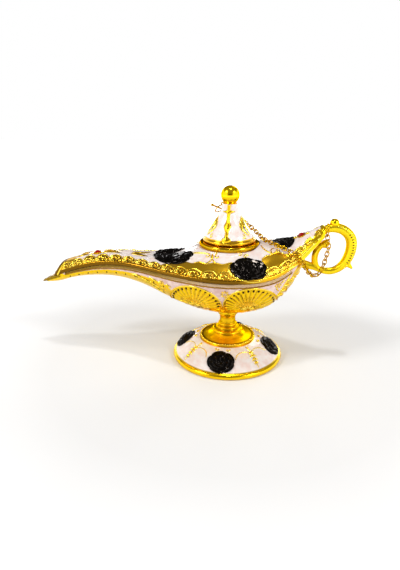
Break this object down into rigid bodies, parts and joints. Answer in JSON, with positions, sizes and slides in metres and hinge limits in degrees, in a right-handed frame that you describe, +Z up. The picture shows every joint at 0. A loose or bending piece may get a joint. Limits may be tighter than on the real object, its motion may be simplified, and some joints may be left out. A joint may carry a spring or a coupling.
{
  "type": "genie oil lamp",
  "caption": "Ornamental genie oil lamp with a long curved spout, looped handle, round foot and a domed lift-off lid held by a toggle clasp and a chain.",
  "frame": {"origin": "where the foot's axis meets the surface it stands on", "axes": "+Z up along the foot's axis, -X towards the spout's tip, +X towards the handle, -Y towards the viewer of the picture"},
  "size_m": [0.2128, 0.076, 0.118],
  "materials": {
    "gold": "polished gold plate",
    "enamel": "pearl enamel with gold lines",
    "black": "gloss black enamel",
    "red": "faceted red paste stone",
    "steel": "zinc-plated"
  },
  "bodies": {
    "lamp": {"stem": "gold", "bowl": "gold", "mouth_collar": "gold", "chain_over_roof": "gold", "chain_by_handle": "gold", "handle": "gold", "handle_knob": "gold", "handle_ring": "gold", "spout_bezel": "gold", "tail_bezel": "gold", "foot": "enamel", "upper_shell": "enamel", "front_rose": "black", "back_rose": "black", "spout_rose": "black", "tail_rose": "black", "foot_roses": "black", "spout_stone": "red", "tail_stone": "red", "tie_bolt": "steel", "tie_washer": "steel", "tie_nut": "steel"},
    "lid": {"lid": "enamel", "finial": "gold", "lid_eye": "gold", "toggle_bar": "gold"},
    "ring": {"lid_ring": "gold"}
  },
  "joints": [
    {"name": "lid_lift", "type": "slide", "parent": "lamp", "child": "lid", "axis": [0, 0, 1], "range_m": [0, 0.03], "deforming": ["chain_over_roof"]},
    {"name": "ring_swing", "type": "hinge", "parent": "lid", "child": "ring", "pos_m": [-0.00498, 0.00418, 0.1055], "axis": [-0.6428, -0.766, 0], "range_deg": [-8, 5]}
  ]
}
